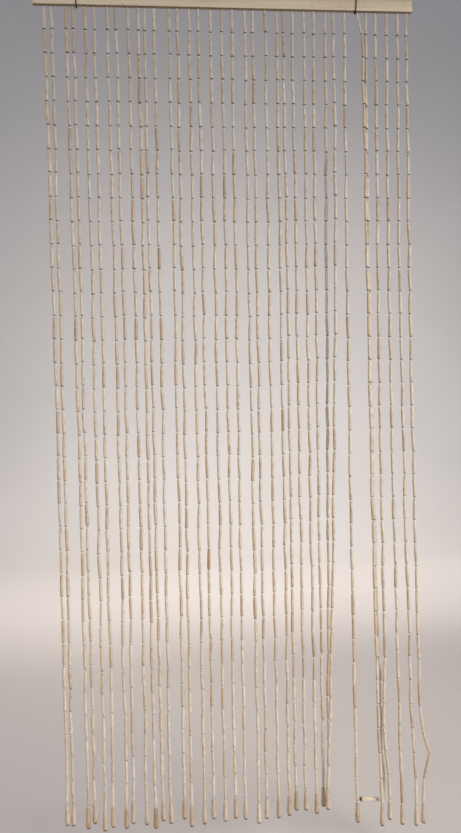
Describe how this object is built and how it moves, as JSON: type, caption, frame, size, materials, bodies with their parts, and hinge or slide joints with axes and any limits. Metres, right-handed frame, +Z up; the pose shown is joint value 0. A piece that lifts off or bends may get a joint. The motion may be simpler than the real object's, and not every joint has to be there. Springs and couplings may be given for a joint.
{
  "type": "bead strip curtain on wooden rail",
  "caption": "Door curtain of reed tubes and small wood beads strung in hanging strands with drop ends, on a flat wooden rail with wire hangers.",
  "frame": {"origin": "level with the inside of the two wire hangers' tops, over the middle of the rail's length and thickness", "axes": "+Z up, +X along the rail to the right as seen from the front, -Y towards the viewer in front"},
  "size_m": [0.9258, 0.0305, 2.0798],
  "materials": {
    "rail_wood": "planed and lightly varnished",
    "reed_beads": "peeled reed and turned wood, light varnish",
    "hanger_wire": "black plastic coat"
  },
  "bodies": {
    "root": {"rail": "rail_wood", "strands_left": "reed_beads", "strands_right": "reed_beads", "hanger_left": "hanger_wire", "hanger_right": "hanger_wire"}
  },
  "joints": []
}
